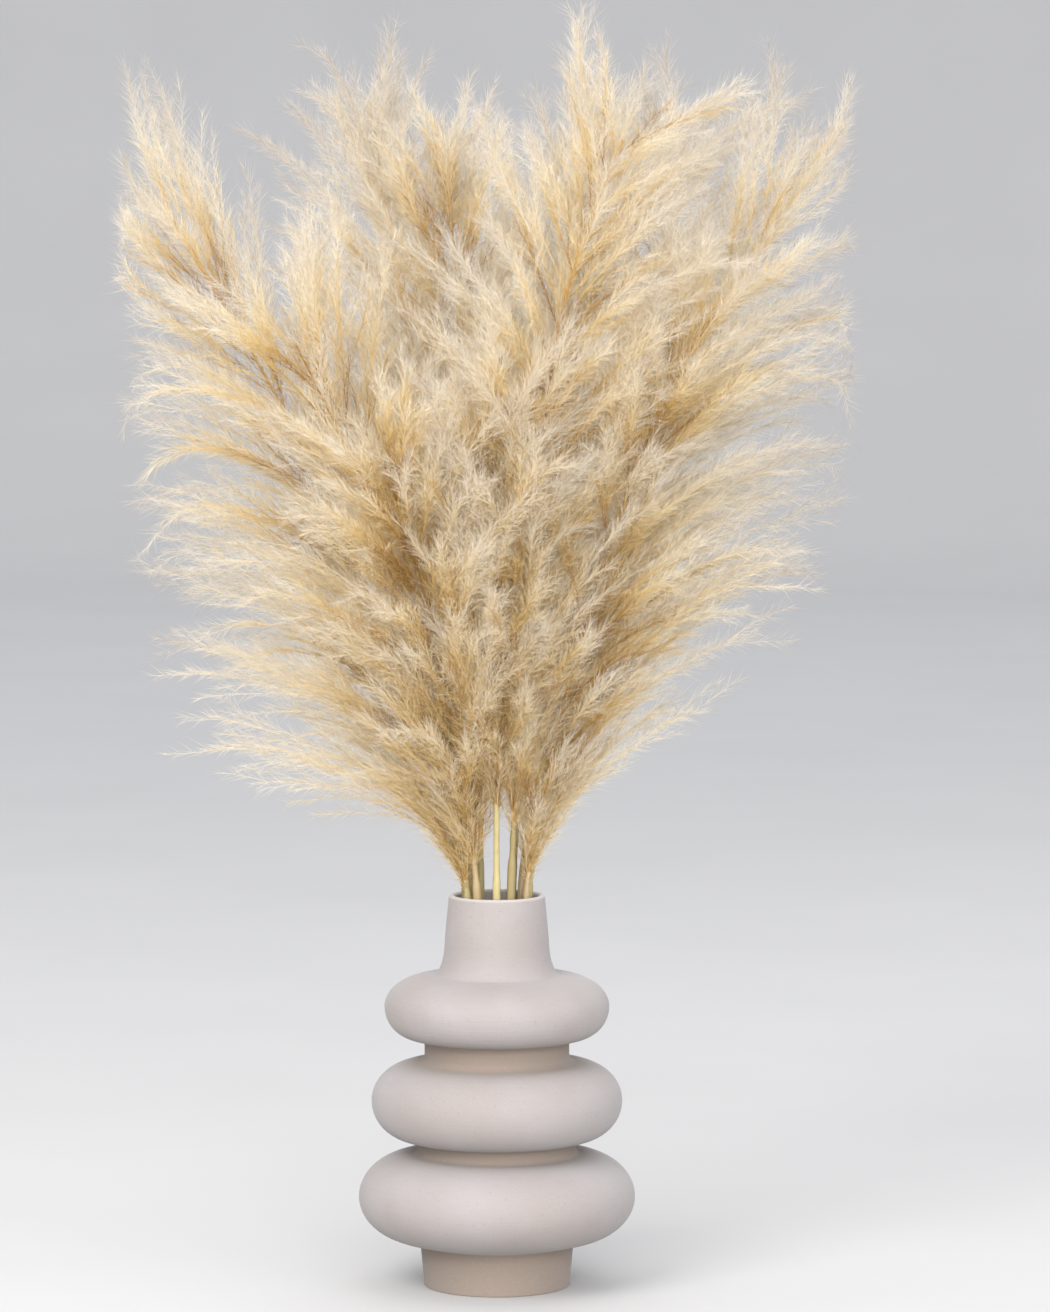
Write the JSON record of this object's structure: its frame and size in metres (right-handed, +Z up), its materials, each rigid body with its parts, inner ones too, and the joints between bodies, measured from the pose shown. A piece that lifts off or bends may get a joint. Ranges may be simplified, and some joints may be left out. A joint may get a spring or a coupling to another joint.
{
  "type": "bundle of pampas grass in a vase",
  "caption": "Full bundle of dried cream pampas grass plumes standing fanned out in a matte ceramic vase of stacked round rings with a narrow neck.",
  "frame": {"origin": "middle of the vase's foot, on the surface it stands on", "axes": "+Z up along the vase's axis, +X to the right and +Y away from a viewer who faces the broad side of the fan"},
  "size_m": [0.506, 0.3144, 0.89],
  "materials": {
    "vase": "matte",
    "stem": "satin",
    "plume": "matte"
  },
  "bodies": {
    "root": {"vase": "vase", "stem_01": "stem", "plume_01": "plume", "stem_02": "stem", "plume_02": "plume", "stem_03": "stem", "plume_03": "plume", "stem_04": "stem", "plume_04": "plume", "stem_05": "stem", "plume_05": "plume", "stem_06": "stem", "plume_06": "plume", "stem_07": "stem", "plume_07": "plume", "stem_08": "stem", "plume_08": "plume", "stem_09": "stem", "plume_09": "plume", "stem_10": "stem", "plume_10": "plume", "stem_11": "stem", "plume_11": "plume"}
  },
  "joints": []
}
